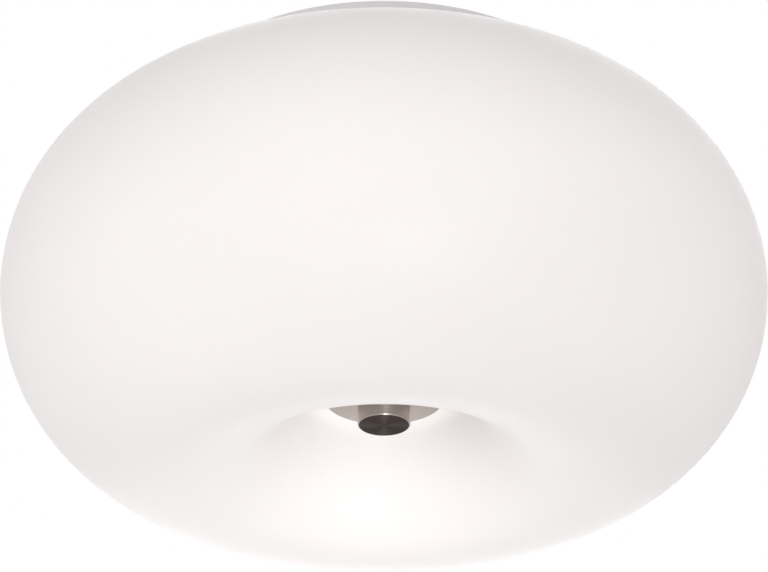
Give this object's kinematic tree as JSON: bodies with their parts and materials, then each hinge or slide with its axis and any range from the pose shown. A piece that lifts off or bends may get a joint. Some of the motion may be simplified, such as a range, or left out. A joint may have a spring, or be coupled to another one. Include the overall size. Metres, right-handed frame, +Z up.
{
  "type": "flush mount ceiling light",
  "caption": "Flush ceiling light: a round matt opal glass shade with a dimple underneath, held to a white steel pan by a satin nickel disc and knob on a threaded rod.",
  "frame": {"origin": "on the rod's axis, in the plane of the pan's rim, where it meets the ceiling", "axes": "+Z up into the ceiling, along the rod; +X along the lampholders' axes; the picture looks along +Y from below"},
  "size_m": [0.28, 0.28, 0.1539],
  "materials": {
    "white_enamel": "smooth satin powder coat",
    "grey_rubber": "moulded rubber",
    "white_foam": "closed-cell foam",
    "zinc_steel": "bright zinc plate",
    "white_nylon": "moulded nylon",
    "brass": "plain brass",
    "tinned_copper": "tin plate",
    "green_wire": "silicone insulation",
    "brown_wire": "silicone insulation",
    "blue_wire": "silicone insulation",
    "opal_glass": "acid-etched matt opal",
    "clear_silicone": "soft silicone",
    "satin_nickel": "fine turned satin nickel plate",
    "white_porcelain": "glazed",
    "frosted_bulb_glass": "inside frosted",
    "bulb_aluminium": "rolled",
    "black_glass": "vitreous",
    "solder": "tinned"
  },
  "bodies": {
    "base": {"ceiling_pan": "white_enamel", "cable_grommet": "grey_rubber", "rim_gasket": "white_foam", "rod_bridge": "zinc_steel", "bridge_rivets": "zinc_steel", "threaded_rod": "zinc_steel", "rod_nuts": "zinc_steel", "rod_washer": "zinc_steel", "bracket_rivets": "zinc_steel", "lampholder_screws": "zinc_steel", "terminal_block": "white_nylon", "terminal_clamps": "brass", "terminal_screws": "zinc_steel", "terminal_block_screw": "zinc_steel", "earth_screw": "brass", "earth_washer": "zinc_steel", "earth_lug": "tinned_copper", "earth_wire": "green_wire", "live_wire_left": "brown_wire", "live_wire_right": "brown_wire", "neutral_wire_left": "blue_wire", "neutral_wire_right": "blue_wire", "lampholder_bracket_left": "zinc_steel", "lampholder_body_left": "white_porcelain", "lampholder_shell_left": "brass", "lampholder_contact_left": "brass", "lampholder_bracket_right": "zinc_steel", "lampholder_body_right": "white_porcelain", "lampholder_shell_right": "brass", "lampholder_contact_right": "brass"},
    "shade": {"glass_shade": "opal_glass", "glass_bush": "clear_silicone"},
    "retainer": {"retaining_disc": "satin_nickel"},
    "knob": {"knob": "satin_nickel"},
    "bulb_left": {"bulb_glass_left": "frosted_bulb_glass", "bulb_cap_left": "bulb_aluminium", "bulb_insulator_left": "black_glass", "bulb_tip_left": "solder"},
    "bulb_right": {"bulb_glass_right": "frosted_bulb_glass", "bulb_cap_right": "bulb_aluminium", "bulb_insulator_right": "black_glass", "bulb_tip_right": "solder"}
  },
  "joints": [
    {"name": "shade_drop", "type": "slide", "parent": "base", "child": "shade", "axis": [0, 0, -1], "range_m": [0, 0.14]},
    {"name": "knob_travel", "type": "slide", "parent": "shade", "child": "retainer", "axis": [0, 0, -1], "range_m": [0, 0.008]},
    {"name": "knob_turn", "type": "hinge", "parent": "retainer", "child": "knob", "pos_m": [0, 0, -0.1221], "axis": [0, 0, -1], "range_deg": [0, 2881]},
    {"name": "bulb_left_out", "type": "slide", "parent": "base", "child": "bulb_left", "axis": [1, 0, 0], "range_m": [0, 0.03]},
    {"name": "bulb_right_out", "type": "slide", "parent": "base", "child": "bulb_right", "axis": [-1, 0, 0], "range_m": [0, 0.03]}
  ],
  "couplings": [
    {"joint": "knob_turn", "follows": "knob_travel", "rad_per_m": 6283.2}
  ]
}
